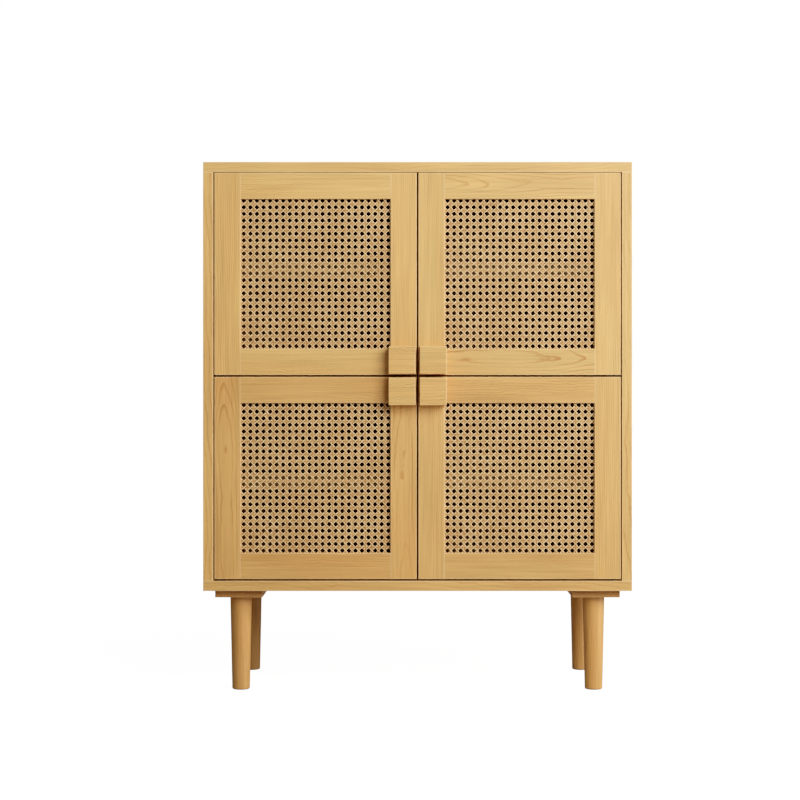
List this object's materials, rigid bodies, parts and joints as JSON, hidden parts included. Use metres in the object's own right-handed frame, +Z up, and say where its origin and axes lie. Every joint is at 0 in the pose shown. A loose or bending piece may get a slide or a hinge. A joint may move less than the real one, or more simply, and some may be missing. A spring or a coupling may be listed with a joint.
{
  "type": "shoe cabinet",
  "caption": "Square wooden shoe cabinet on turned legs, with inset frame doors of woven cane, block handles and shelves inside.",
  "frame": {"origin": "on the floor, midway along the width and midway along the overall depth, handles included", "axes": "+Z up, +X to the right seen from the front, doors facing -Y"},
  "size_m": [0.8, 0.404, 0.99],
  "materials": {
    "carcass_wood": "clear satin lacquer on light solid wood, long grain",
    "door_wood": "clear satin lacquer on light solid wood",
    "leg_wood": "clear satin lacquer on turned wood",
    "back_board": "sanded plywood, clear lacquer",
    "cane": "natural woven rattan cane, slightly shiny strands",
    "hardware_steel": "zinc-plated steel",
    "dark_steel": "black painted steel plate",
    "catch_plastic": "brown moulded plastic",
    "felt": "brown felt"
  },
  "bodies": {
    "carcass": {"top_panel": "carcass_wood", "bottom_panel": "carcass_wood", "side_panel_left": "carcass_wood", "side_panel_right": "carcass_wood", "back_panel": "back_board", "mid_shelf": "carcass_wood", "divider_upper": "carcass_wood", "divider_lower": "carcass_wood", "shelf_upper_left": "carcass_wood", "shelf_upper_right": "carcass_wood", "shelf_lower_left": "carcass_wood", "shelf_lower_right": "carcass_wood", "shelf_pegs": "hardware_steel", "leg_rail_left": "leg_wood", "leg_rail_right": "leg_wood", "leg_front_left": "leg_wood", "leg_front_right": "leg_wood", "leg_rear_left": "leg_wood", "leg_rear_right": "leg_wood", "foot_pads": "felt", "leg_bolts": "hardware_steel", "leg_nuts": "hardware_steel", "carcass_dowels": "leg_wood", "cam_locks": "hardware_steel", "wood_screws": "hardware_steel", "pivot_plates": "dark_steel", "pivot_pins": "hardware_steel", "magnetic_catches": "catch_plastic"},
    "door_upper_left": {"upper_left_hinge_stile": "door_wood", "upper_left_latch_stile": "door_wood", "upper_left_top_rail": "door_wood", "upper_left_bottom_rail": "door_wood", "upper_left_cane_panel": "cane", "upper_left_cane_bead": "door_wood", "upper_left_handle": "door_wood", "upper_left_door_fittings": "hardware_steel"},
    "door_upper_right": {"upper_right_hinge_stile": "door_wood", "upper_right_latch_stile": "door_wood", "upper_right_top_rail": "door_wood", "upper_right_bottom_rail": "door_wood", "upper_right_cane_panel": "cane", "upper_right_cane_bead": "door_wood", "upper_right_handle": "door_wood", "upper_right_door_fittings": "hardware_steel"},
    "door_lower_left": {"lower_left_hinge_stile": "door_wood", "lower_left_latch_stile": "door_wood", "lower_left_top_rail": "door_wood", "lower_left_bottom_rail": "door_wood", "lower_left_cane_panel": "cane", "lower_left_cane_bead": "door_wood", "lower_left_handle": "door_wood", "lower_left_door_fittings": "hardware_steel"},
    "door_lower_right": {"lower_right_hinge_stile": "door_wood", "lower_right_latch_stile": "door_wood", "lower_right_top_rail": "door_wood", "lower_right_bottom_rail": "door_wood", "lower_right_cane_panel": "cane", "lower_right_cane_bead": "door_wood", "lower_right_handle": "door_wood", "lower_right_door_fittings": "hardware_steel"}
  },
  "joints": [
    {"name": "upper_left_door_hinge", "type": "hinge", "parent": "carcass", "child": "door_upper_left", "pos_m": [-0.3628, -0.171, 0.78], "axis": [0, 0, -1], "range_deg": [0, 110]},
    {"name": "upper_right_door_hinge", "type": "hinge", "parent": "carcass", "child": "door_upper_right", "pos_m": [0.3628, -0.171, 0.78], "axis": [0, 0, 1], "range_deg": [0, 110]},
    {"name": "lower_left_door_hinge", "type": "hinge", "parent": "carcass", "child": "door_lower_left", "pos_m": [-0.3628, -0.171, 0.4], "axis": [0, 0, -1], "range_deg": [0, 110]},
    {"name": "lower_right_door_hinge", "type": "hinge", "parent": "carcass", "child": "door_lower_right", "pos_m": [0.3628, -0.171, 0.4], "axis": [0, 0, 1], "range_deg": [0, 110]}
  ]
}
